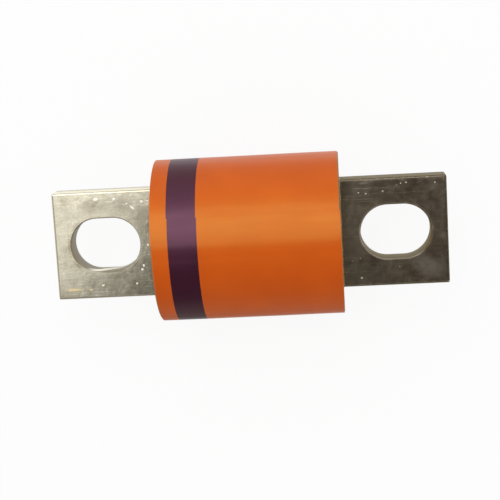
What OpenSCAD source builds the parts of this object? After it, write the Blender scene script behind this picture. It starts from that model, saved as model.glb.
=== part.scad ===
// Bolt-on cartridge fuse: a sand-filled tube between two flat blades with bolt slots.
// +X runs along the fuse, +Z is square to the blades and the origin is in the middle of the tube.

/* [Tube] */
// Length of the tube between its end faces
body_len = 42.9; // [36:0.1:60]
// Diameter over one turn of the label
body_dia = 38.1; // [31.7:0.1:50]
// Wall of the tube
tube_wall = 3.2; // [2.4:0.1:4.5]
// Bevel on the rims of the tube and of the plugs
rim_bevel = 0.4; // [0.1:0.05:0.8]

/* [Label] */
// Thickness of the label
label_th = 0.15; // [0.1:0.01:0.3]
// Bare tube beyond each edge of the label
label_inset = 0.05; // [0.05:0.05:1]
// Overlap of the label's two ends, measured round the tube
label_lap = 6; // [3:0.5:12]
// Angle of the edge that lies on top, from +Z towards +Y
label_seam = 23; // [0:1:359]
// Step sideways between the two ends of the label
label_step = 0.2; // [0.05:0.05:0.3]

/* [Blades] */
// Width of the blades
blade_w = 25.4; // [20:0.1:30.5]
// Thickness of the blades
blade_th = 6.35; // [4:0.05:8]
// Length of each blade outside the tube
blade_out = 24.75; // [20.6:0.05:40]
// Radius along the blade's edges
blade_round = 0.45; // [0.2:0.05:0.8]
// Width of the bolt slots
slot_w = 12.7; // [8:0.1:16]
// Length of the bolt slots, end to end
slot_len = 16.4; // [13:0.1:20]
// Metal between the slot and the blade's tip
slot_tip = 3.9; // [2:0.1:8]
// Bevel round the mouths of the slots
slot_bevel = 0.25; // [0.1:0.05:0.5]

/* [End plugs] */
// Length of each end plug
plug_len = 9.5; // [7.9:0.1:13]
// Metal left under the pocket for the blade's tenon
plug_floor = 2.5; // [2:0.1:3.5]
// Radial clearance of a plug in the tube
plug_fit = 0.02; // [0.01:0.01:0.1]
// Height of each shoulder on the blade's narrow sides
shoulder_w = 3.2; // [1:0.1:6]
// Height of each shoulder on the blade's flat sides
shoulder_th = 0.8; // [0.3:0.05:1.5]
// Clearance round the tenon, filled by braze
braze_gap = 0.05; // [0.02:0.01:0.15]

/* [Drive pins] */
// Number of pins at each end
pin_count = 4; // [4:4:4]
// Diameter of the pins
pin_dia = 3.2; // [2:0.1:4]
// Length of the pins
pin_len = 8; // [6:0.1:9]
// Distance of the pins' axes from the tube's end face
pin_in = 4.75; // [3:0.05:5]
// Depth of the pins' outer ends below the tube's surface
pin_sink = 0.1; // [0.1:0.05:0.5]
// Radial clearance round the pins
pin_fit = 0.01; // [0.01:0.01:0.05]

/* [Fill plug] */
// Diameter of the fill plug
fill_dia = 4.4; // [3:0.1:5]
// Length of the fill plug
fill_len = 5; // [3:0.1:6.5]
// Depth of the fill plug's face below the end plug's face
fill_sink = 0.3; // [0.1:0.05:1]
// Metal between the fill hole and the end plug's rim
fill_edge = 1.4; // [1:0.1:2]
// Width of the driver slot
driver_w = 0.8; // [0.5:0.05:1.2]
// Depth of the driver slot
driver_deep = 0.9; // [0.5:0.05:1.5]

/* [Fuse elements] */
// Width of each ribbon
element_w = 15; // [10:0.1:18]
// Thickness of each ribbon
element_th = 0.2; // [0.1:0.01:0.4]
// Depth of the grooves that hold the ribbons' ends
groove_deep = 1.2; // [0.8:0.1:1.8]
// Clearance round each ribbon, in the grooves and in the sand
element_gap = 0.05; // [0.02:0.01:0.1]
// Metal between the outermost groove and the fill hole
stack_edge = 0.9; // [0.5:0.1:2]
// Diameter of the holes that make the weak spots
notch_dia = 2.3; // [1.5:0.1:2.6]
// Metal left between two holes of a row
notch_neck = 0.6; // [0.3:0.05:1]
// Holes in each row
notch_count = 5; // [3:1:5]
// Distance between the rows of holes
notch_pitch = 6; // [4:0.1:9]
// Clearance between the sand and the tube or plugs
sand_gap = 0.02; // [0.01:0.01:0.1]

/* [Hidden] */
$fn = 96;
half_len = body_len / 2;
tube_r = body_dia / 2 - label_th;
bore_r = tube_r - tube_wall;
plug_r = bore_r - plug_fit;
tip_x = half_len + blade_out;
slot_x = tip_x - slot_tip - slot_len / 2;
tenon_w = blade_w - 2 * shoulder_w;
tenon_th = blade_th - 2 * shoulder_th;
tenon_len = plug_len - plug_floor;
chamber_half = half_len - plug_len;
pin_top = tube_r - pin_sink;
fill_z = plug_r - fill_edge - fill_dia / 2;
fill_clear = 0.02;
element_count = 6;
stack_half = fill_z - fill_dia / 2 - stack_edge;
element_pitch = 2 * stack_half / (element_count - 1);
element_len = 2 * (chamber_half + groove_deep - element_gap);
lap_angle = label_lap / tube_r * 180 / PI;
far = 2 * body_dia;

// Turns a shape that was made along +Z so that it lies along +X
module along_x() {
    rotate([0, 90, 0]) children();
}

// Disc or rod along +X with bevelled rims, from x0 to x1
module bevelled_rod(r, x0, x1, bevel) {
    translate([x0, 0, 0]) along_x() rotate_extrude() polygon([
        [0, 0], [r - bevel, 0], [r, bevel],
        [r, x1 - x0 - bevel], [r - bevel, x1 - x0], [0, x1 - x0]
    ]);
}

// Rectangle with rounded corners, drawn with true arcs
module rounded_rect(w, h, r) {
    square([w - 2 * r, h], center = true);
    square([w, h - 2 * r], center = true);
    for (sx = [-1, 1], sy = [-1, 1])
        translate([sx * (w / 2 - r), sy * (h / 2 - r)]) circle(r, $fn = 32);
}

// Puts its children on the axes of the drive pins of the right end
module at_pins() {
    for (i = [0 : pin_count - 1])
        rotate([45 + i * 360 / pin_count, 0, 0]) translate([half_len - pin_in, 0, 0]) children();
}

// Holes for the drive pins of the right end
module pin_holes() {
    at_pins() translate([0, 0, pin_top - pin_len]) cylinder(r = pin_dia / 2 + pin_fit, h = far);
}

// Height of a ribbon above the middle plane
function element_z(i) = (i - (element_count + 1) / 2) * element_pitch;

// Space of one ribbon, in the grooves and in the sand
module element_space(i, half) {
    translate([-half, -element_w / 2 - element_gap, element_z(i) - element_th / 2 - element_gap])
        cube([2 * half, element_w + 2 * element_gap, element_th + 2 * element_gap]);
}

module body_tube() {
    color("#c9b48c") difference() {
        bevelled_rod(tube_r, -half_len, half_len, rim_bevel / 2);
        translate([-far / 2, 0, 0]) along_x() cylinder(r = bore_r, h = far);
        pin_holes();
        mirror([1, 0, 0]) pin_holes();
    }
}

// One turn of thin sheet, with its end lying over its start
module wrap_label() {
    w = body_len - 2 * label_inset - label_step;
    color("#cf621a") union() {
        translate([-w / 2 - label_step / 2, 0, 0]) along_x() difference() {
            cylinder(r = body_dia / 2, h = w);
            translate([0, 0, -1]) cylinder(r = tube_r, h = w + 2);
        }
        translate([-w / 2 + label_step / 2, 0, 0]) along_x()
            rotate([0, 0, 180 - label_seam]) rotate_extrude(angle = lap_angle)
                translate([tube_r + label_th / 2, 0]) square([1.5 * label_th, w]);
    }
}

// Plug of the right end, with the pocket for the blade, the pin holes and the grooves for the ribbons
module end_plug(filled) {
    difference() {
        bevelled_rod(plug_r, half_len - plug_len, half_len, rim_bevel);
        translate([half_len - tenon_len, -tenon_w / 2 - braze_gap, -tenon_th / 2 - braze_gap])
            cube([tenon_len + 1, tenon_w + 2 * braze_gap, tenon_th + 2 * braze_gap]);
        pin_holes();
        for (i = [1 : element_count]) element_space(i, chamber_half + groove_deep);
        if (filled) translate([chamber_half - 1, 0, -fill_z]) along_x()
            cylinder(r = fill_dia / 2 + fill_clear, h = plug_len + 2);
    }
}

module left_end_plug() {
    color("#b9a878") mirror([1, 0, 0]) end_plug(false);
}

module right_end_plug() {
    color("#b9a878") end_plug(true);
}

// Outline of the bolt slot, grown by g
module slot_outline(g) {
    run = (slot_len - slot_w) / 2;
    for (s = [-1, 1]) translate([s * run, 0]) circle(slot_w / 2 + g);
    square([2 * run, slot_w + 2 * g], center = true);
}

// One sloping mouth of the slot: round ends and a straight part
module slot_mouth() {
    run = (slot_len - slot_w) / 2;
    r0 = slot_w / 2;
    for (s = [-1, 1]) translate([s * run, 0, 0]) rotate_extrude() polygon([
        [0, -slot_bevel], [r0, -slot_bevel], [r0 + slot_bevel, 0], [r0 + slot_bevel, 1], [0, 1]
    ]);
    translate([-run, 0, 0]) rotate([90, 0, 90]) linear_extrude(2 * run) polygon([
        [-r0, -slot_bevel], [r0, -slot_bevel], [r0 + slot_bevel, 0],
        [r0 + slot_bevel, 1], [-r0 - slot_bevel, 1], [-r0 - slot_bevel, 0]
    ]);
}

// Blade of the right end: rounded bar, bolt slot and the narrow tenon that goes into the plug
module blade() {
    difference() {
        union() {
            intersection() {
                translate([half_len, 0, 0]) rotate([90, 0, 90])
                    linear_extrude(blade_out) rounded_rect(blade_w, blade_th, blade_round);
                translate([half_len, 0, 0]) rotate([90, 0, 0])
                    linear_extrude(2 * blade_w, center = true)
                        rounded_rect(2 * blade_out, blade_th, blade_round);
                translate([half_len, 0, -blade_th])
                    linear_extrude(2 * blade_th)
                        rounded_rect(2 * blade_out, blade_w, blade_round);
            }
            translate([half_len - tenon_len + braze_gap, -tenon_w / 2, -tenon_th / 2])
                cube([tenon_len, tenon_w, tenon_th]);
        }
        translate([slot_x, 0, -blade_th]) linear_extrude(2 * blade_th) slot_outline(0);
        for (m = [0, 1]) mirror([0, 0, m]) translate([slot_x, 0, blade_th / 2]) slot_mouth();
    }
}

module left_blade() {
    color("#b9b29f") mirror([1, 0, 0]) blade();
}

module right_blade() {
    color("#b9b29f") blade();
}

module drive_pins() {
    at_pins() translate([0, 0, pin_top - pin_len]) cylinder(r = pin_dia / 2, h = pin_len);
}

module left_drive_pins() {
    color("#8d8f92") mirror([1, 0, 0]) drive_pins();
}

module right_drive_pins() {
    color("#8d8f92") drive_pins();
}

// Slotted plug that closes the hole the sand was poured through
module fill_plug() {
    color("#b08d4f") difference() {
        translate([half_len - fill_sink - fill_len, 0, -fill_z]) along_x()
            cylinder(r = fill_dia / 2, h = fill_len);
        translate([half_len - fill_sink - driver_deep, -fill_dia, -fill_z - driver_w / 2])
            cube([driver_deep + 1, 2 * fill_dia, driver_w]);
    }
}

module sand_filler() {
    color("#d8cfbb") difference() {
        translate([-chamber_half + sand_gap, 0, 0]) along_x()
            cylinder(r = bore_r - sand_gap, h = 2 * (chamber_half - sand_gap));
        for (i = [1 : element_count]) element_space(i, chamber_half + 1);
    }
}

// Flat silver ribbon with three rows of holes that leave narrow necks
module fuse_element(i) {
    pitch = notch_dia + notch_neck;
    color("#d9d9d6") translate([0, 0, element_z(i) - element_th / 2]) difference() {
        translate([-element_len / 2, -element_w / 2, 0]) cube([element_len, element_w, element_th]);
        for (row = [-1 : 1], k = [0 : notch_count - 1])
            translate([row * notch_pitch, (k - (notch_count - 1) / 2) * pitch, -1])
                cylinder(r = notch_dia / 2, h = element_th + 2, $fn = 32);
    }
}

body_tube();
wrap_label();
left_end_plug();
right_end_plug();
left_blade();
right_blade();
left_drive_pins();
right_drive_pins();
fill_plug();
sand_filler();
fuse_element(1);  // fuse_element_1
fuse_element(2);  // fuse_element_2
fuse_element(3);  // fuse_element_3
fuse_element(4);  // fuse_element_4
fuse_element(5);  // fuse_element_5
fuse_element(6);  // fuse_element_6
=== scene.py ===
import math
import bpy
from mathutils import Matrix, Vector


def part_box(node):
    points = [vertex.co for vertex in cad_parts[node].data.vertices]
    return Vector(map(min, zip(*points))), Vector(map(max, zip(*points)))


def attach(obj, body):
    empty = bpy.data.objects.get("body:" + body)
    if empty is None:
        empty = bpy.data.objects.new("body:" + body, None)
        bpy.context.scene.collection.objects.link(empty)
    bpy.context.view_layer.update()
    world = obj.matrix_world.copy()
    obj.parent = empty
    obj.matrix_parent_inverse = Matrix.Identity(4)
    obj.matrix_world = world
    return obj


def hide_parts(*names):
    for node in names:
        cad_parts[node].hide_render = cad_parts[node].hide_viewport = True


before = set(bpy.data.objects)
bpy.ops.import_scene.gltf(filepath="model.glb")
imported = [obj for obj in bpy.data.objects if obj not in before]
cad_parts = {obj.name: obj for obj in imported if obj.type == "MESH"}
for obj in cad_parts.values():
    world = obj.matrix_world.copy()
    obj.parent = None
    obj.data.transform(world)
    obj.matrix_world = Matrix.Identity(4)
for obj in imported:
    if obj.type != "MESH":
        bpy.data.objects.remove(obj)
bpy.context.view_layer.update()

from types import SimpleNamespace

import bpy
from mathutils import Matrix, Vector, noise

# Looks of the bolt-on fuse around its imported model: materials for its nodes, the label as a wound sheet, two
# beads of braze, and the stage, light and camera of the photograph.
# Sizes are written in millimetres, and MM turns them into the frame's metres.
MM = 0.001


def lowest(node):
    """A node's lowest corner, in millimetres."""
    return [round(value / MM, 3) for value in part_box(node)[0]]


def highest(node):
    """A node's highest corner, in millimetres."""
    return [round(value / MM, 3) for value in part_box(node)[1]]


# Driving sizes that repeat the CAD source's
BLADE_ROUND = 0.45
SLOT_W = 12.7
SLOT_LEN = 16.4
SLOT_TIP = 3.9
LABEL_TH = 0.15
LABEL_STEP = 0.2
LABEL_SEAM = 23.0
LABEL_LAP = 6.0

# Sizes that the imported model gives
HALF_LEN = highest("body_tube")[0]
TUBE_R = -lowest("body_tube")[2]
TIP_X, BLADE_HALF_W, BLADE_HALF_TH = highest("right_blade")
LABEL_W = highest("wrap_label")[0] - lowest("wrap_label")[0] - LABEL_STEP
FILL_Z = (lowest("fill_plug")[2] + highest("fill_plug")[2]) / 2

# The floor lies this far below the plain label, which leaves room for the label's ripples
FLOOR_GAP = 0.05
FLOOR_Z = lowest("wrap_label")[2] - FLOOR_GAP

# The middle of the right blade's slot, the radius of its ends and half the way between their centres
SLOT_X = TIP_X - SLOT_TIP - SLOT_LEN / 2
SLOT_R = SLOT_W / 2
SLOT_RUN = (SLOT_LEN - SLOT_W) / 2

# The printed band's edges, from the label's left edge, half their soft width, how far the ink strays, and
# where the bare paper of a side edge starts and is full
BAND_START = 3.75
BAND_END = 10.40
INK_EDGE = 0.05
INK_STRAYS = 0.09
BARE_START = 0.05
BARE_FULL = 0.01

# Millimetres of the flat label in one unit of its UV map
SHEET_UNIT = 100.0

# Sockets of the node that maps one range of numbers to another
RANGE_SOCKETS = ("From Min", "From Max", "To Min", "To Max")


def srgb(r, g, b):
    """A colour written as 0-255 screen values, as a shader wants it."""
    parts = [c / 255 for c in (r, g, b)]
    return tuple(c / 12.92 if c <= 0.04045 else ((c + 0.055) / 1.055) ** 2.4 for c in parts) + (1.0,)


# Materials


class MaterialTree:
    """A material's node tree, with short calls for the nodes that the looks are made of.

    Places are in millimetres, and a pattern's scale is the number of its cells in a millimetre.
    """

    def __init__(self, name, **sockets):
        self.material = bpy.data.materials.new(name)
        self.material.use_nodes = True
        self.tree = self.material.node_tree
        self.shader = self.tree.nodes["Principled BSDF"]
        for socket, value in sockets.items():
            self.shader.inputs[socket.replace("_", " ")].default_value = value
        where = self.make("ShaderNodeTexCoord")
        self.place = self.vector("SCALE", where.outputs["Object"], 1 / MM)
        self.x, self.y, self.z = self.split(self.place)

    def make(self, kind, **inputs):
        """A new node with these inputs."""
        node = self.tree.nodes.new(kind)
        for socket, value in inputs.items():
            self.put(node.inputs[socket], value)
        return node

    def put(self, socket, value):
        """Joins another node's output to a socket, or sets it to a plain value."""
        if isinstance(value, bpy.types.NodeSocket):
            self.tree.links.new(value, socket)
        elif value is not None:
            socket.default_value = value

    def link(self, socket, value):
        """Joins a value to one of the shader's own sockets."""
        self.tree.links.new(value, self.shader.inputs[socket])

    def math(self, operation, a, b=None, c=None):
        node = self.make("ShaderNodeMath")
        node.operation = operation
        for socket, value in zip(node.inputs, (a, b, c)):
            self.put(socket, value)
        return node.outputs[0]

    def chain(self, operation, values):
        """One operation over all the values, from left to right."""
        made = values[0]
        for value in values[1:]:
            made = self.math(operation, made, value)
        return made

    def add(self, *values):
        return self.chain("ADD", values)

    def minus(self, *values):
        return self.chain("SUBTRACT", values)

    def times(self, *values):
        return self.chain("MULTIPLY", values)

    def most(self, *values):
        return self.chain("MAXIMUM", values)

    def total(self, *shares):
        """Sum of pairs (value, weight), for tones, heights and roughness."""
        return self.add(*[self.times(value, weight) for value, weight in shares])

    def size(self, value):
        """A value without its sign."""
        return self.math("ABSOLUTE", value)

    def vector(self, operation, a, b=None):
        node = self.make("ShaderNodeVectorMath")
        node.operation = operation
        self.put(node.inputs[0], a)
        if operation == "SCALE":
            self.put(node.inputs["Scale"], b)
        return node.outputs["Value" if operation == "LENGTH" else "Vector"]

    def split(self, vector):
        return self.make("ShaderNodeSeparateXYZ", Vector=vector).outputs

    def distance(self, x, y, z):
        """Length of the vector with these parts."""
        return self.vector("LENGTH", self.make("ShaderNodeCombineXYZ", X=x, Y=y, Z=z).outputs[0])

    def stretched(self, scale, turn=(0, 0, 0)):
        """Places scaled by axis and turned by degrees, for grain with a direction."""
        node = self.make("ShaderNodeMapping", Vector=self.place)
        node.inputs["Rotation"].default_value = [math.radians(a) for a in turn]
        node.inputs["Scale"].default_value = scale
        return node.outputs[0]

    def noise(self, scale, detail, rough, place=None, warp=0.0):
        node = self.make("ShaderNodeTexNoise", Vector=place or self.place, Scale=scale, Detail=detail)
        self.put(node.inputs["Roughness"], rough)
        self.put(node.inputs["Distortion"], warp)
        return node.outputs[0]

    def cells(self, scale, place=None):
        return self.make("ShaderNodeTexVoronoi", Vector=place or self.place, Scale=scale).outputs

    def parts(self, colour):
        """A colour's red, green and blue, as plain numbers."""
        return self.make("ShaderNodeSeparateColor", Color=colour).outputs

    def step(self, value, low, high, out_low=0.0, out_high=1.0, smooth=True):
        """out_low below low, out_high above high, and a smooth change between. low may be above high."""
        node = self.make("ShaderNodeMapRange", Value=value)
        node.interpolation_type = "SMOOTHSTEP" if smooth else "LINEAR"
        if low > high:
            low, high, out_low, out_high = high, low, out_high, out_low
        for socket, number in zip(RANGE_SOCKETS, (low, high, out_low, out_high)):
            node.inputs[socket].default_value = number
        return node.outputs[0]

    def mix(self, share, a, b):
        node = self.make("ShaderNodeMix")
        node.data_type = "RGBA"
        self.put(node.inputs["Factor"], share)
        self.put(node.inputs[6], a)
        self.put(node.inputs[7], b)
        return node.outputs[2]

    def tint(self, colour, over, share, weight=1.0):
        """colour with another one over it, where share is above 0."""
        return self.mix(share if weight == 1.0 else self.times(share, weight), colour, over)

    def ramp(self, value, *stops):
        node = self.make("ShaderNodeValToRGB", Fac=value)
        points = node.color_ramp.elements
        while len(points) < len(stops):
            points.new(0.5)
        for point, (at, colour) in zip(points, stops):
            point.position = at
            point.color = colour
        return node.outputs[0]

    def specks(self, scale, chosen, size, place=None):
        """Small round spots: 1 in a spot's middle. chosen is the share of the cells that hold one."""
        smallest = 0.35
        full = 0.55
        cell = self.cells(scale, place)
        pick, vary = self.parts(cell["Color"])[:2]
        radius = self.times(self.step(vary, 0.0, 1.0, smallest, 1.0, smooth=False), size)
        spot = self.step(self.math("DIVIDE", cell["Distance"], radius), 1.0, full)
        return self.times(spot, self.math("LESS_THAN", pick, chosen))

    def marks(self, places, inner, ragged=0.3):
        """Soft oval marks on a blade's front face, 1 inside. inner is the part of an oval that is full."""
        depth = 2.5
        frayed = self.math("MULTIPLY_ADD", self.noise(2.2, 3.0, 0.6), 2 * ragged, -ragged)
        ovals = []
        for x, y, half_x, half_y, turn in places:
            oval = self.make("ShaderNodeMapping", Vector=self.place)
            oval.vector_type = "TEXTURE"
            oval.inputs["Location"].default_value = (x, y, BLADE_HALF_TH)
            oval.inputs["Rotation"].default_value = (0, 0, math.radians(turn))
            oval.inputs["Scale"].default_value = (half_x, half_y, depth)
            far = self.add(self.vector("LENGTH", oval.outputs[0]), frayed)
            ovals.append(self.step(far, 1.0, inner))
        return self.most(*ovals)

    def scratches(self, turn, level, along=0.05):
        """Thin lines along one direction of the XY plane, 1 in a line. A higher level leaves fewer."""
        across = 7.0
        soft = 0.03
        place = self.stretched((along, across, along * 4), (0, 0, turn))
        return self.step(self.noise(1.0, 1.0, 0.4, place), level, level + soft)

    def bump(self, height):
        """Surface relief from a height in millimetres."""
        return self.make("ShaderNodeBump", Height=height, Distance=MM).outputs[0]

    def finish(self, colour, rough, height):
        """Joins the three looks that every material has."""
        self.link("Base Color", colour)
        self.link("Roughness", rough)
        self.link("Normal", self.bump(height))
        return self.material


# Finish of each blade, painted light and shade included: its tones, the tint of what it mirrors at a slant,
# how strong its painted sheen is, how frosted it is and how strong the painted glint on its slot's lower wall,
# and how tarnished it is, from 0 to 1, and the marks on its front face: drops, painted sheen and painted
# shade. The tones of its cut faces, rounded edges and glint are painted highlight and shade, and those of its
# slot walls partly so. A mark is its place and half sizes in millimetres, and its turn in degrees.
LEFT_TIN = SimpleNamespace(
    name="tinned_copper_left",
    side=-1,
    light=srgb(236, 230, 208),
    dark=srgb(206, 198, 175),
    edge_near=srgb(255, 252, 230),
    edge_far=srgb(190, 184, 162),
    wall_near=srgb(148, 139, 118),
    wall_far=srgb(152, 144, 130),
    glint=srgb(255, 252, 234),
    rim=srgb(168, 160, 138),
    crest=srgb(206, 199, 176),
    foot=srgb(160, 150, 134),
    shade=srgb(148, 139, 118),
    drop=srgb(255, 253, 244),
    sheen=srgb(255, 226, 168),
    mirror=(1.0, 0.98, 0.92, 1.0),
    sheen_share=0.9,
    frost_and_glint=0.9,
    tarnish=0.18,
    drop_marks=[
        (-35.8, 10.8, 0.68, 0.38, 0),
        (-31.4, 10.7, 0.48, 0.34, 25),
        (-41.3, 9.0, 0.28, 0.26, 0),
        (-41.6, 5.3, 0.20, 0.20, 0),
        (-28.5, 9.5, 0.30, 0.22, 0),
        (-27.2, 8.5, 0.75, 0.26, -38),
        (-24.9, 9.8, 0.32, 0.34, 0),
        (-24.1, -0.5, 0.26, 0.26, 0),
        (-25.4, -5.4, 0.30, 0.32, 0),
        (-25.8, -6.3, 0.34, 0.30, 0),
        (-27.3, -9.6, 0.32, 0.26, 0),
        (-35.4, -9.7, 0.42, 0.22, 10),
    ],
    sheen_marks=[
        (-42.4, -10.45, 3.1, 0.46, 1),
        (-38.4, -10.6, 0.70, 0.36, 0),
    ],
    shade_marks=[
        (-35.6, 9.5, 5.2, 2.4, -4),
        (-29.6, 9.2, 5.2, 3.4, 6),
        (-25.2, 7.4, 2.8, 5.4, 0),
        (-26.8, -8.9, 3.6, 2.6, 0),
        (-33.2, -9.6, 4.0, 1.9, 0),
        (-32.2, -7.7, 4.8, 1.5, 0),
        (-42.7, 0.2, 0.75, 3.6, 0),
        (-41.0, -4.8, 0.75, 2.3, 42),
        (-41.0, 4.8, 0.65, 1.9, -42),
        (-42.5, -12.5, 6.5, 1.1, 0),
    ],
)
# The right blade's tones are darker than the left's, partly from more tarnish and partly as painted shade for
# the dark that it mirrors. Its tint at a slant is darkened as painted shade too.
RIGHT_TIN = SimpleNamespace(
    name="tinned_copper_right",
    side=1,
    light=srgb(198, 184, 164),
    dark=srgb(154, 140, 123),
    edge_near=srgb(145, 136, 113),
    edge_far=srgb(140, 129, 107),
    wall_near=srgb(134, 126, 108),
    wall_far=srgb(154, 148, 130),
    glint=srgb(148, 142, 124),
    rim=srgb(84, 76, 62),
    crest=srgb(84, 76, 62),
    foot=srgb(208, 198, 176),
    shade=srgb(104, 96, 82),
    drop=srgb(188, 182, 166),
    sheen=srgb(250, 238, 224),
    mirror=(0.55, 0.51, 0.42, 1.0),
    sheen_share=0.6,
    frost_and_glint=0.0,
    tarnish=0.4,
    drop_marks=[
        (25.8, 9.4, 0.20, 0.17, 0),
        (27.5, 9.1, 0.23, 0.21, 0),
        (31.4, 9.5, 0.24, 0.18, 0),
        (35.6, 11.1, 0.16, 0.16, 0),
        (36.9, 11.3, 0.24, 0.16, 0),
        (43.5, 11.0, 0.16, 0.22, 0),
        (25.7, -10.7, 0.34, 0.28, 0),
    ],
    sheen_marks=[
        (41.4, -8.4, 5.6, 3.4, -24),
        (27.0, 11.6, 1.5, 0.35, 2),
    ],
    shade_marks=[
        (27.2, -8.8, 6.0, 3.6, 4),
        (31.0, 11.0, 2.6, 1.2, 0),
        (44.4, 8.6, 1.4, 2.6, 0),
        (24.0, 2.0, 1.3, 4.0, 0),
    ],
)

# Tones that both blades share
GRIME = srgb(128, 118, 98)
TARNISH = srgb(124, 106, 84)
RUBBED = srgb(226, 216, 192)
SCRATCH = srgb(236, 230, 212)
PIT = srgb(92, 80, 64)

# Zones of a blade: how far in from its outline, or out from its slot's wall, each starts and is full
SHEARED = (0.12, 0.02)
TURNED = (0.56, 0.42)
RIM = (0.75, 0.20)
TOP = (1.1, 0.3)
SLOT_WALL = (0.12, 0.02)
SLOT_LIP = (0.40, 0.25)
SLOT_MOUTH = (0.62, 0.18)

# Along the blade: how far out from the body it turns darker, in its shade tone, and where the tone of the
# upper edge starts to rise and is full
DARKER_REACH = 7.0
CREST_RISES = (26.0, 38.0)

# The lower wall of a slot, at its -Y side: where it starts and is full, across the blade and along it. The
# painted streak of light on it slants back and fades towards +X. The painted shade on the lip beside it is
# faint at its -X end.
LOWER_Y = (-5.0, -6.0)
LOWER_X = (5.8, 2.8)
STREAK_SLANT = 0.55
STREAK_FRONT = (1.7, 0.6)
STREAK_BACK = (-2.2, -1.3)
STREAK_FADES = (-1.6, 3.6)
LIP_RISES = (-2.4, -0.2)


def blade_places(m, side):
    """Where a point is on a blade: from 0 outside each named place to 1 inside it."""
    past = m.minus(m.x, side * SLOT_X)
    along = m.most(m.minus(m.size(past), SLOT_RUN), 0.0)
    from_slot = m.minus(m.distance(along, m.y, 0.0), SLOT_R)
    wide = m.size(m.y)
    end = m.size(m.x)

    def inside(value, limit, zone):
        return m.step(value, limit - zone[0], limit - zone[1])

    def border(zone):
        return m.most(inside(wide, BLADE_HALF_W, zone), inside(end, TIP_X, zone))

    wall = m.step(from_slot, *SLOT_WALL)
    lower = m.times(m.step(m.y, *LOWER_Y), m.step(m.size(past), *LOWER_X))
    slanted = m.math("MULTIPLY_ADD", past, STREAK_SLANT, m.z)
    streak = m.times(m.step(slanted, *STREAK_FRONT), m.step(slanted, *STREAK_BACK))
    fading = m.step(past, *STREAK_FADES, 1.0, 0.35)
    patchy = m.step(m.noise(0.6, 2.0, 0.5), 0.36, 0.52, 0.85, 1.0)
    rounding = inside(wide, BLADE_HALF_W, TURNED)
    return SimpleNamespace(
        wall=wall,
        mouth=m.step(from_slot, *SLOT_MOUTH),
        lip=m.times(m.step(from_slot, *SLOT_LIP), lower, m.step(past, *LIP_RISES, 0.3, 1.0)),
        glint=m.times(streak, fading, lower, wall, patchy),
        sheared=border(SHEARED),
        rim=border(RIM),
        turned=border(TURNED),
        foot=m.times(rounding, m.step(m.y, 0.0, -1.0)),
        crest=m.times(rounding, m.step(m.y, 0.0, 1.0), m.step(end, *CREST_RISES, 0.5, 1.0)),
        top=inside(m.y, BLADE_HALF_W, TOP),
        near_body=m.step(end, HALF_LEN + DARKER_REACH, HALF_LEN),
    )


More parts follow.
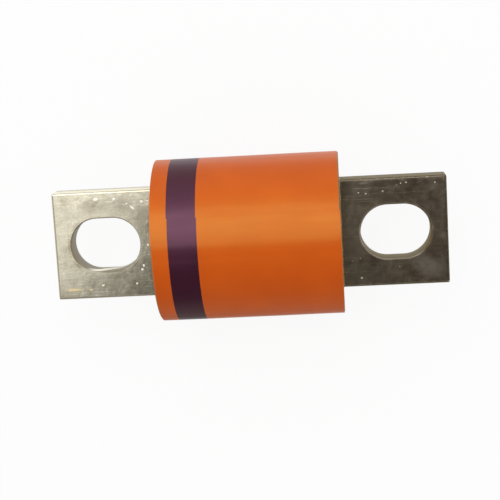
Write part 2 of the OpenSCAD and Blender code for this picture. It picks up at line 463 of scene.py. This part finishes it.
def tinned_copper(tin):
    """Rolled copper bar with a satin coat of tin."""
    m = MaterialTree(tin.name, Metallic=1.0, IOR=1.5, Specular_Tint=tin.mirror)
    at = blade_places(m, tin.side)
    clouds = m.noise(0.13, 3.0, 0.55, warp=0.4)
    mottle = m.noise(0.75, 5.0, 0.62)
    grain = m.noise(5.5, 3.0, 0.6)
    rolled = m.noise(1.0, 2.0, 0.5, m.stretched((0.06, 3.2, 3.2)))
    smear = m.noise(1.0, 2.0, 0.5, m.stretched((1.1, 0.14, 1.1), (0, 0, 8)))
    lines = m.most(m.scratches(4, 0.70), m.scratches(-63, 0.74, 0.08))
    drops = m.most(m.specks(0.55, 0.10, 0.13), m.marks(tin.drop_marks, 0.55))
    pits = m.specks(0.9, 0.10, 0.12, m.stretched((1, 1, 1), (0, 0, 40)))
    worn = m.times(at.rim, m.step(m.noise(0.9, 4.0, 0.6), 0.52, 0.68))
    blotches = m.noise(0.22, 4.0, 0.6, m.stretched((1, 1.4, 1), (0, 0, 30)))
    stain = m.times(m.step(blotches, 0.50, 0.66), tin.tarnish)
    shade = m.times(m.marks(tin.shade_marks, 0.0, 0.55), m.step(mottle, 0.34, 0.66, 0.45, 1.0))
    darker_by_body = m.times(at.near_body, 0.35, m.step(mottle, 0.3, 0.7, 0.5, 1.0))
    painted_sheen = m.times(m.marks(tin.sheen_marks, 0.2), tin.sheen_share)
    # The glint on the slot's lower wall is a painted highlight.
    glint = m.times(at.glint, tin.frost_and_glint)

    tone = m.total((clouds, 0.42), (mottle, 0.40), (rolled, 0.12), (smear, 0.14))
    colour = m.ramp(tone, (0.38, tin.dark), (0.66, tin.light))
    colour = m.tint(colour, GRIME, m.step(grain, 0.35, 0.75, 0.0, 0.10))
    colour = m.tint(colour, TARNISH, stain)
    # Painted shade from the shade marks, and the blade turns darker towards the body in the same tone.
    colour = m.tint(colour, tin.shade, m.most(m.times(shade, 0.75), darker_by_body))
    # Painted sheen: patches of painted reflection, warm on the left blade and pale on the right.
    colour = m.tint(colour, tin.sheen, painted_sheen)
    # Painted shade round the slot's mouth and along its lower lip.
    colour = m.tint(colour, tin.wall_near, at.mouth, 0.25)
    colour = m.tint(colour, tin.wall_near, at.lip, 0.9)
    # The rounded edges are painted lighter or darker by the side they face: the crest and rim tones along the
    # upper edge and the tips, the foot tone along the lower edge. This is painted highlight and painted shade.
    rounded = m.mix(at.foot, m.mix(at.crest, tin.rim, tin.crest), tin.foot)
    colour = m.tint(colour, rounded, at.turned, 0.95)
    colour = m.tint(colour, RUBBED, worn, 0.12)
    # The cut faces: painted highlight and painted shade, in tones that change from front to back.
    cut_edge = m.mix(m.step(m.z, -0.4, -1.8), tin.edge_near, tin.edge_far)
    colour = m.tint(colour, cut_edge, at.sheared, 0.9)
    # The slot's wall: the cut metal darker in the hollow, partly as painted shade, and on its lower wall the
    # glint, a painted highlight.
    slot_wall = m.mix(m.step(m.z, 2.6, -2.6), tin.wall_near, tin.wall_far)
    colour = m.tint(colour, m.mix(glint, slot_wall, tin.glint), at.wall)
    in_cut = m.most(at.wall, at.sheared)
    colour = m.tint(colour, SCRATCH, m.times(lines, m.step(in_cut, 0.0, 1.0, 0.3, 0.12)))
    colour = m.tint(colour, PIT, pits, 0.8)
    colour = m.tint(colour, tin.drop, drops, 0.9)

    frosted = m.total((at.foot, 1.0), (painted_sheen, 1.0), (at.sheared, 0.5), (at.mouth, 0.3))
    frosted = m.most(m.times(frosted, tin.frost_and_glint), m.times(at.top, 0.22))
    matt = m.math("MINIMUM", m.most(drops, frosted), 1.0)
    m.link("Metallic", m.minus(1.0, m.times(matt, 0.75)))

    surface = m.total((mottle, 0.11), (clouds, 0.07), (grain, 0.03), (shade, 0.06), (drops, 0.3))
    edges = m.total((at.wall, 0.22), (at.turned, 0.12), (at.sheared, 0.15), (at.mouth, 0.12))
    polish = m.total((glint, 0.34), (worn, 0.08))
    rough = m.minus(m.add(surface, edges, 0.06), polish)
    relief = m.total((mottle, 0.012), (clouds, 0.05), (grain, 0.0008), (rolled, 0.003), (smear, 0.004))
    flaws = m.total((lines, -0.002), (drops, 0.012), (pits, -0.015))
    return m.finish(colour, rough, m.add(relief, flaws))


def label_print():
    """Printed laminate: orange with one plum band, glossy and not quite flat."""
    m = MaterialTree("label_print", IOR=1.5, Specular_IOR_Level=0.75, Coat_Weight=0.04, Coat_Roughness=0.15)
    sheet = m.make("ShaderNodeUVMap")
    sheet.uv_map = "sheet"
    u = m.split(m.vector("SCALE", sheet.outputs[0], SHEET_UNIT))[0]
    across = m.add(u, m.math("MULTIPLY_ADD", m.noise(1.3, 3.0, 0.6), INK_STRAYS, -INK_STRAYS / 2))
    past_start = m.step(across, BAND_START - INK_EDGE, BAND_START + INK_EDGE)
    before_end = m.step(across, BAND_END + INK_EDGE, BAND_END - INK_EDGE)
    band = m.times(past_start, before_end)
    bare_left = m.step(u, BARE_START, BARE_FULL)
    bare_right = m.step(u, LABEL_W - BARE_START, LABEL_W - BARE_FULL)

    cloud = m.noise(0.11, 2.0, 0.5)
    fibre = m.noise(2.6, 4.0, 0.65, m.stretched((1.0, 1.6, 1.6)))
    ink = m.noise(9.0, 2.0, 0.5)
    flecks = m.specks(0.8, 0.05, 0.10)
    tone = m.total((cloud, 0.5), (fibre, 0.32), (ink, 0.18))
    orange = m.ramp(tone, (0.30, srgb(200, 70, 4)), (0.70, srgb(213, 81, 8)))
    plum = m.ramp(tone, (0.30, srgb(44, 7, 25)), (0.70, srgb(58, 14, 36)))
    colour = m.tint(orange, plum, band)
    colour = m.tint(colour, srgb(226, 150, 96), flecks, 0.5)
    colour = m.tint(colour, srgb(232, 178, 130), m.most(bare_left, bare_right), 0.7)
    m.link("Specular Tint", m.mix(band, (0.8, 1.0, 0.24, 1.0), (1.0, 0.5, 0.7, 1.0)))

    rubbed = m.noise(1.0, 3.0, 0.6, m.stretched((0.05, 0.5, 0.5)))
    waves = m.noise(1.0, 2.0, 0.5, m.stretched((0.035, 0.32, 0.32), (0, 0, 3)))
    m.link("Coat Normal", m.bump(m.total((waves, 0.06), (cloud, 0.05))))
    rough = m.add(m.total((rubbed, 0.22), (fibre, 0.08)), 0.26)
    height = m.total((fibre, 0.0022), (ink, 0.0005), (rubbed, 0.018), (cloud, 0.06), (flecks, 0.006))
    return m.finish(colour, rough, height)


def tube_laminate():
    """Wound glass-cloth laminate: layers in rings on its end faces, weave on its outside."""
    m = MaterialTree("tube_laminate", IOR=1.52)
    radius = m.distance(0.0, m.y, m.z)
    drift = m.noise(0.25, 3.0, 0.6)
    layers = m.add(m.times(radius, 2.6), m.times(drift, 1.6))
    rings = m.step(m.math("PINGPONG", layers, 0.5), 0.0, 0.5)
    threads = m.noise(3.4, 4.0, 0.7)
    spots = m.noise(0.5, 4.0, 0.65)
    chips = m.specks(0.9, 0.22, 0.2)
    tone = m.total((rings, 0.42), (threads, 0.36), (spots, 0.30))
    resin = ((0.28, srgb(136, 110, 70)), (0.50, srgb(184, 160, 112)), (0.78, srgb(214, 196, 152)))
    colour = m.ramp(tone, *resin)
    colour = m.tint(colour, srgb(228, 216, 184), chips, 0.6)
    woven = m.ramp(threads, (0.35, srgb(120, 80, 44)), (0.65, srgb(158, 112, 66)))
    colour = m.tint(colour, woven, m.step(radius, TUBE_R - 0.55, TUBE_R - 0.40))
    rough = m.add(m.total((threads, 0.25), (rings, 0.12)), 0.42)
    return m.finish(colour, rough, m.total((rings, 0.012), (threads, 0.02), (chips, -0.02)))


def turned_brass(name, centre_z, light, dark, pitch, tarnish):
    """Brass turned on a lathe: fine rings round an axis along X, with stains."""
    m = MaterialTree(name, Metallic=1.0)
    radius = m.distance(0.0, m.y, m.minus(m.z, centre_z))
    drift = m.noise(0.3, 3.0, 0.55)
    turns = m.add(m.math("DIVIDE", radius, pitch), m.times(drift, 0.5))
    groove = m.math("PINGPONG", turns, 0.5)
    across = m.make("ShaderNodeCombineXYZ", X=m.times(radius, 9.0)).outputs[0]
    fine = m.noise(1.0, 2.0, 0.6, across)
    mottle = m.noise(0.7, 5.0, 0.62)
    stain = m.step(m.noise(0.28, 4.0, 0.6), 0.46, 0.68, 0.0, tarnish)
    dots = m.specks(0.8, 0.12, 0.16)
    tone = m.total((groove, 0.28), (fine, 0.44), (mottle, 0.44))
    colour = m.ramp(tone, (0.32, dark), (0.70, light))
    colour = m.tint(colour, srgb(122, 92, 52), stain)
    colour = m.tint(colour, srgb(84, 66, 40), dots, 0.7)
    rough = m.add(m.total((mottle, 0.20), (stain, 0.25), (fine, 0.08)), 0.16)
    return m.finish(colour, rough, m.total((groove, 0.006), (fine, 0.006), (mottle, 0.008), (dots, -0.012)))


def braze():
    """Braze that has run round the blade and set: pale, wavy, with flux stains."""
    m = MaterialTree("braze", Metallic=1.0)
    waves = m.noise(0.9, 4.0, 0.6, warp=0.6)
    fine = m.noise(4.0, 3.0, 0.6)
    flux = m.step(m.noise(0.5, 4.0, 0.65), 0.52, 0.66)
    colour = m.ramp(waves, (0.35, srgb(122, 104, 74)), (0.65, srgb(182, 164, 126)))
    colour = m.tint(colour, srgb(92, 72, 50), flux, 0.6)
    rough = m.add(m.total((waves, 0.25), (flux, 0.3)), 0.24)
    return m.finish(colour, rough, m.total((waves, 0.02), (fine, 0.003)))


def pin_steel():
    """Drawn steel wire with a little rust."""
    m = MaterialTree("pin_steel", Metallic=1.0)
    drawn = m.noise(2.4, 4.0, 0.6)
    mottle = m.noise(0.8, 4.0, 0.6)
    rust = m.step(m.noise(0.6, 5.0, 0.7), 0.60, 0.72, 0.0, 0.5)
    tone = m.total((drawn, 0.5), (mottle, 0.5))
    colour = m.ramp(tone, (0.35, srgb(118, 118, 118)), (0.65, srgb(172, 172, 168)))
    colour = m.tint(colour, srgb(112, 78, 52), rust)
    rough = m.add(m.total((drawn, 0.2), (rust, 0.3)), 0.22)
    return m.finish(colour, rough, m.total((drawn, 0.006), (mottle, 0.006)))


def quartz_sand():
    """Packed grains of quartz, each with a tint of its own."""
    m = MaterialTree("quartz_sand", IOR=1.54)
    grains = m.cells(2.6)
    pick = m.parts(grains["Color"])[0]
    dust = m.noise(6.0, 3.0, 0.6)
    gap = m.step(grains["Distance"], 0.35, 0.75)
    pale = ((0.0, srgb(176, 158, 122)), (0.45, srgb(216, 204, 176)), (0.8, srgb(238, 231, 214)))
    colour = m.ramp(pick, *pale, (1.0, srgb(150, 132, 104)))
    # Painted shade: the gaps between grains are darker.
    colour = m.tint(colour, srgb(128, 112, 84), gap, 0.5)
    rough = m.total((pick, 0.3), (dust, 0.4), (gap, 0.3))
    return m.finish(colour, rough, m.total((grains["Distance"], -0.12), (dust, 0.02)))


def element_silver():
    """Rolled silver strip with thin sulphide stains."""
    m = MaterialTree("element_silver", Metallic=1.0)
    rolled = m.noise(1.0, 3.0, 0.6, m.stretched((0.08, 4.0, 4.0)))
    cloud = m.noise(0.35, 4.0, 0.6)
    sulphide = m.step(cloud, 0.52, 0.70, 0.0, 0.45)
    colour = m.ramp(rolled, (0.3, srgb(208, 207, 202)), (0.7, srgb(236, 235, 230)))
    colour = m.tint(colour, srgb(172, 150, 112), sulphide)
    rough = m.add(m.total((rolled, 0.14), (cloud, 0.12)), 0.06)
    return m.finish(colour, rough, m.total((rolled, 0.003), (cloud, 0.006)))


# Pieces


def mesh_object(name, points, faces, material, sharp):
    """An object from points in millimetres. Edges that turn by more than sharp degrees stay crisp."""
    mesh = bpy.data.meshes.new(name)
    mesh.from_pydata([Vector(p) * MM for p in points], [], faces)
    mesh.validate()
    mesh.shade_smooth()
    mesh.set_sharp_from_angle(angle=math.radians(sharp))
    mesh.materials.append(material)
    made = bpy.data.objects.new(name, mesh)
    bpy.context.scene.collection.objects.link(made)
    return made


def share(value, low, high):
    """How far value is from low to high, from 0 to 1."""
    return min(max((value - low) / (high - low), 0.0), 1.0)


def smooth(value, low, high):
    """The same, easing in and out."""
    t = share(value, low, high)
    return t * t * (3 - 2 * t)


def swell(a, b, long, wide, height, layer):
    """Height of soft waves over a surface, all in millimetres. layer picks one of many patterns."""
    return height * noise.noise(Vector((a / long, b / wide, layer)))


# The label's sheet. u is in millimetres along the tube, and t is in degrees round it from the sheet's start.
# The sheet climbs over its own start from CLIMB_ANGLE on. It is even where it is covered. Its ripples grow
# over RIPPLE_ANGLE from there, and over RIPPLE_EDGE in from a side edge.
LAP_ANGLE = math.degrees(LABEL_LAP / TUBE_R)
SHEET_ANGLE = 360.0 + LAP_ANGLE
CLIMB_ANGLE = 349.0
RIPPLE_ANGLE = 4.0
RIPPLE_EDGE = 1.2

# The width, or the angle, and the depth of three changes: the rounding of its side edges and of its end, and
# the step down to where it is covered and pressed
EDGE_ROUND = 0.06
EDGE_DROP = 0.030
END_ANGLE = 0.12
END_DROP = 0.004
PRESS_ANGLE = 0.3
PRESS_DROP = 0.006

# Its mesh: even steps round it and along it, with closer loops at these distances from each side edge
ROWS = 470
COLUMNS = 116
COLUMNS_FROM = 0.4
EDGE_LOOPS = [0.0, 0.025, 0.06, 0.14]


def label_ripples(u, v):
    """Unevenness of the sheet: long ripples along the tube, fine skew ones and broad soft ones."""
    skew = 0.225
    long = swell(u, v, long=24.0, wide=3.4, height=0.016, layer=1.7)
    fine = swell(u + skew * v, v, long=9.0, wide=1.3, height=0.0025, layer=7.3)
    broad = swell(u, v, long=13.0, wide=11.0, height=0.060, layer=4.1)
    return long + fine + broad


def label_inside(t):
    """Radius of the sheet's inner face."""
    return TUBE_R + LABEL_TH * smooth(t, CLIMB_ANGLE, 360.0)


def label_outside(u, t):
    """Radius of the sheet's outer face."""
    near = min(u, LABEL_W - u)
    uneven = smooth(t, LAP_ANGLE, LAP_ANGLE + RIPPLE_ANGLE) * smooth(near, 0.0, RIPPLE_EDGE)
    ripples = uneven * label_ripples(u, TUBE_R * math.radians(t))
    rounded = EDGE_DROP * (1 - share(near, 0.0, EDGE_ROUND)) ** 2
    if t == SHEET_ANGLE:
        rounded += END_DROP
    pressed = PRESS_DROP * (1 - smooth(t, LAP_ANGLE - PRESS_ANGLE, LAP_ANGLE))
    return label_inside(t) + LABEL_TH + ripples - rounded - pressed


def label_point(u, t, radius):
    """A point of the sheet, which winds on slightly skew, by LABEL_STEP in a turn."""
    slide = LABEL_STEP * (share(t, LAP_ANGLE, 360.0) - 0.5)
    phi = math.radians(LABEL_SEAM - LAP_ANGLE + t)
    return (slide + u - LABEL_W / 2, radius * math.sin(phi), radius * math.cos(phi))


def label_sheet(material):
    """One turn of printed sheet with its end lying over its start, a little uneven as it was smoothed on."""
    plain = LABEL_W - 2 * COLUMNS_FROM
    middle = [COLUMNS_FROM + plain * k / (COLUMNS - 1) for k in range(COLUMNS)]
    places = EDGE_LOOPS + middle + [LABEL_W - e for e in reversed(EDGE_LOOPS)]
    angles = [SHEET_ANGLE * k / ROWS for k in range(ROWS)] + [SHEET_ANGLE - END_ANGLE, SHEET_ANGLE]
    grid = [(u, t) for t in angles for u in places]
    edges = [(u, t) for t in angles for u in (0.0, LABEL_W)]
    points = [label_point(u, t, label_outside(u, t)) for u, t in grid]
    points += [label_point(u, t, label_inside(t)) for u, t in edges]

    wide = len(places)
    tall = len(angles)
    under = wide * tall
    faces = []
    for i in range(tall - 1):
        for j in range(wide - 1):
            a = i * wide + j
            faces.append((a, a + wide, a + wide + 1, a + 1))
        left = i * wide
        right = left + wide - 1
        low = under + 2 * i
        faces.append((low, low + 1, low + 3, low + 2))
        faces.append((left, low, low + 2, left + wide))
        faces.append((right, right + wide, low + 3, low + 1))
    last = (tall - 1) * wide
    low = under + 2 * (tall - 1)
    faces.append((under, *range(wide), under + 1))
    faces.append((low + 1, *range(last + wide - 1, last - 1, -1), low))
    made = mesh_object("label", points, faces, material, sharp=40.0)

    flat = [(u, TUBE_R * math.radians(t)) for u, t in grid + edges]
    layer = made.data.uv_layers.new(name="sheet")
    for loop in made.data.loops:
        u, v = flat[loop.vertex_index]
        layer.uv[loop.index].vector = (u / SHEET_UNIT, v / SHEET_UNIT)
    return made


# A braze bead's reach out over the plug and up the blade, how much each varies, the length of its steps
# round the blade, and the number of points in its hollow curve
BEAD_OUT = 0.24
BEAD_OUT_VARIES = 0.10
BEAD_UP = 0.20
BEAD_UP_VARIES = 0.08
BEAD_STEP = 0.35
BEAD_POINTS = 6


def blade_outline():
    """Points and outward directions round a blade's section, about BEAD_STEP apart or closer."""
    corners = []
    for corner_y, corner_z, start in ((1, 1, 0), (-1, 1, 90), (-1, -1, 180), (1, -1, 270)):
        for turn in range(0, 91, 15):
            a = math.radians(start + turn)
            y = corner_y * (BLADE_HALF_W - BLADE_ROUND) + BLADE_ROUND * math.cos(a)
            z = corner_z * (BLADE_HALF_TH - BLADE_ROUND) + BLADE_ROUND * math.sin(a)
            corners.append(Vector((y, z, math.cos(a), math.sin(a))))
    outline = []
    for i, here in enumerate(corners):
        there = corners[(i + 1) % len(corners)]
        count = max(1, round((there - here).to_2d().length / BEAD_STEP))
        outline += [here.lerp(there, k / count) for k in range(count)]
    return outline


def braze_bead(name, side, material):
    """A thin fillet where a blade's foot meets its end plug."""
    points = []
    for y, z, out_y, out_z in blade_outline():
        width = BEAD_OUT + swell(y, z, 2.1, 2.1, BEAD_OUT_VARIES, layer=3.0 * side)
        height = BEAD_UP + swell(y, z, 1.7, 1.7, BEAD_UP_VARIES, layer=5.0 * side + 2.0)
        profile = [(0.0, 0.0)]
        for k in range(BEAD_POINTS):
            a = math.radians(90.0 * k / (BEAD_POINTS - 1))
            profile.append((width * (1 - math.sin(a)), height * (1 - math.cos(a))))
        for out, up in profile:
            points.append((side * (HALF_LEN + up), y + out_y * out, z + out_z * out))
    section = BEAD_POINTS + 1
    total = len(points)
    faces = []
    for start in range(0, total, section):
        following = (start + section) % total
        for k in range(section):
            after = (k + 1) % section
            here = start + k
            beside = (start + after, following + after, following + k)
            faces.append((here, *beside[::side]))
    return mesh_object(name, points, faces, material, sharp=50.0)


def paint(material, *nodes):
    """Gives CAD nodes their material."""
    for node in nodes:
        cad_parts[node].material_slots[0].material = material


end_tones = (srgb(214, 190, 132), srgb(158, 132, 80))
fill_tones = (srgb(224, 194, 124), srgb(166, 132, 70))
elements = [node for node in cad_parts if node.startswith("fuse_element_")]
printed = label_print()
paint(tinned_copper(LEFT_TIN), "left_blade")
paint(tinned_copper(RIGHT_TIN), "right_blade")
paint(turned_brass("end_brass", 0.0, *end_tones, pitch=0.42, tarnish=0.5), "left_end_plug", "right_end_plug")
paint(turned_brass("fill_brass", FILL_Z, *fill_tones, pitch=0.3, tarnish=0.35), "fill_plug")
paint(tube_laminate(), "body_tube")
paint(pin_steel(), "left_drive_pins", "right_drive_pins")
paint(quartz_sand(), "sand_filler")
paint(element_silver(), *elements)
paint(printed, "wrap_label")

label = label_sheet(printed)
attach(label, "root")
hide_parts("wrap_label")
bead_metal = braze()
for name, side in (("left_braze_bead", -1), ("right_braze_bead", 1)):
    bead = braze_bead(name, side, bead_metal)
    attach(bead, "root")


# Stage

WHITE = (1.0, 1.0, 1.0, 1.0)
PAPER = (0.9, 0.9, 0.9, 1.0)
WARM = (1.0, 0.93, 0.82)

# Half the floor's side, the distances from the origin where its shadow starts to fade and is gone, and the
# share of plain white that it has near the object
FLOOR_HALF = 3000
FADE_START = 100
FADE_END = 350
FLOOR_GLOW = 0.90


def seen_rays(tree):
    """1 for camera, glossy and transmission rays."""
    path = tree.nodes.new("ShaderNodeLightPath")
    made = path.outputs["Is Camera Ray"]
    for other in ("Is Glossy Ray", "Is Transmission Ray"):
        node = tree.nodes.new("ShaderNodeMath")
        node.operation = "MAXIMUM"
        tree.links.new(made, node.inputs[0])
        tree.links.new(path.outputs[other], node.inputs[1])
        made = node.outputs[0]
    return made


def plane(name, corners, material):
    """A flat piece of the stage from corners in millimetres."""
    mesh = bpy.data.meshes.new(name)
    mesh.from_pydata([Vector(c) * MM for c in corners], [], [tuple(range(len(corners)))])
    mesh.materials.append(material)
    made = bpy.data.objects.new(name, mesh)
    bpy.context.scene.collection.objects.link(made)
    return made


def strip(name, first, second, material):
    """A flat piece between two edges along X. An edge is half its length and its y and z."""
    half, *place = first
    other_half, *other_place = second
    corners = [(-half, *place), (half, *place), (other_half, *other_place), (-other_half, *other_place)]
    return plane(name, corners, material)


def empty_material(name):
    """A new material, its tree without nodes, and a call that adds one."""
    material = bpy.data.materials.new(name)
    material.use_nodes = True
    material.node_tree.nodes.clear()
    return material, material.node_tree, material.node_tree.nodes.new


def floor_material():
    """White paper. Near the object it keeps the shadow, and further out it is as white as the background."""
    material, tree, new = empty_material("floor")
    diffuse = new("ShaderNodeBsdfDiffuse")
    diffuse.inputs["Color"].default_value = PAPER
    glow = new("ShaderNodeEmission")
    glow.inputs["Color"].default_value = WHITE
    where = new("ShaderNodeTexCoord")
    away = new("ShaderNodeVectorMath")
    away.operation = "LENGTH"
    glowing = new("ShaderNodeMapRange")
    for socket, number in zip(RANGE_SOCKETS, (FADE_START * MM, FADE_END * MM, FLOOR_GLOW, 1.0)):
        glowing.inputs[socket].default_value = number
    seen = new("ShaderNodeMath")
    seen.operation = "MULTIPLY"
    mix = new("ShaderNodeMixShader")
    out = new("ShaderNodeOutputMaterial")
    tree.links.new(where.outputs["Object"], away.inputs[0])
    tree.links.new(away.outputs["Value"], glowing.inputs["Value"])
    tree.links.new(glowing.outputs[0], seen.inputs[0])
    tree.links.new(seen_rays(tree), seen.inputs[1])
    tree.links.new(seen.outputs[0], mix.inputs[0])
    tree.links.new(diffuse.outputs[0], mix.inputs[1])
    tree.links.new(glow.outputs[0], mix.inputs[2])
    tree.links.new(mix.outputs[0], out.inputs["Surface"])
    return material


def card_material(name, grey):
    """A slightly warm grey that glows, for a card that metal and gloss mirror."""
    material, tree, new = empty_material(name)
    glow = new("ShaderNodeEmission")
    glow.inputs["Color"].default_value = (*[grey * c for c in WARM], 1.0)
    out = new("ShaderNodeOutputMaterial")
    tree.links.new(glow.outputs[0], out.inputs["Surface"])
    return material


strip("floor", (FLOOR_HALF, -FLOOR_HALF, FLOOR_Z), (FLOOR_HALF, FLOOR_HALF, FLOOR_Z), floor_material())

# Cards outside the picture that only reflections see. They stop no light. The dark card above is open where
# the left blade and the label's upper half mirror the lamp. The others are in front, low in front and low
# behind.
CARD_Z = 450
CARD_Y = -150
CARD_ABOVE = [(420, CARD_Y), (420, 80), (35, 80), (-82, -20), (-100, -66), (-182, CARD_Y), (-500, CARD_Y)]
dark = card_material("dark_card", 0.108)
cards = [
    plane("card_above", [(x, y, CARD_Z) for x, y in CARD_ABOVE], dark),
    strip("card_front", (500, CARD_Y, CARD_Z), (700, -640, -10), dark),
    strip("card_low", (600, -32, -16), (600, -640, -12), card_material("grey_card", 0.35)),
    strip("card_far", (600, 40, -16), (600, 640, -12), card_material("pale_card", 0.6)),
]
for card in cards:
    card.visible_camera = False
    card.visible_diffuse = False
    card.visible_shadow = False
    card.visible_transmission = False

# Light

# The background is white where it is seen or mirrored, and AMBIENT of white where it lights the object
AMBIENT = 0.58
world = bpy.data.worlds.new("studio")
bpy.context.scene.world = world
world.use_nodes = True
background = world.node_tree.nodes["Background"]
background.inputs["Color"].default_value = WHITE
level = world.node_tree.nodes.new("ShaderNodeMapRange")
level.inputs["To Min"].default_value = AMBIENT
world.node_tree.links.new(seen_rays(world.node_tree), level.inputs["Value"])
world.node_tree.links.new(level.outputs[0], background.inputs["Strength"])

# The key lamp is a soft box that faces the object. Its power is in watts.
KEY_PLACE = (-60, 323, 677)
KEY_WIDTH = 470
KEY_HEIGHT = 715
KEY_POWER = 2.9
lamp = bpy.data.lights.new("key", "AREA")
lamp.shape = "RECTANGLE"
lamp.size = KEY_WIDTH * MM
lamp.size_y = KEY_HEIGHT * MM
lamp.energy = KEY_POWER
key = bpy.data.objects.new("key", lamp)
bpy.context.scene.collection.objects.link(key)
key.location = Vector(KEY_PLACE) * MM
key.rotation_mode = "QUATERNION"
key.rotation_quaternion = (-key.location).to_track_quat("-Z", "Y")
key.visible_camera = False

# Camera

# It was fitted to the photograph, which is FRAME_PX wide. TURN, an axis whose length is the angle in
# radians, and SHIFT take a place in the frame to the camera's own axes.
FRAME_PX = 500
FOCAL_PX = 1367.8
SENSOR = 36.0
TURN = Vector((0.16500, -0.06437, 0.05217))
SHIFT = Vector((0.15261, 3.30638, -323.48899))
lens = bpy.data.cameras.new("camera")
lens.sensor_width = SENSOR
lens.lens = FOCAL_PX / FRAME_PX * SENSOR
lens.clip_start = 0.01
lens.clip_end = 20.0
camera = bpy.data.objects.new("camera", lens)
bpy.context.scene.collection.objects.link(camera)
to_camera = Matrix.Translation(SHIFT * MM) @ Matrix.Rotation(TURN.length, 4, TURN.normalized())
camera.matrix_world = to_camera.inverted()
bpy.context.scene.camera = camera

bpy.context.scene.view_settings.view_transform = "Standard"
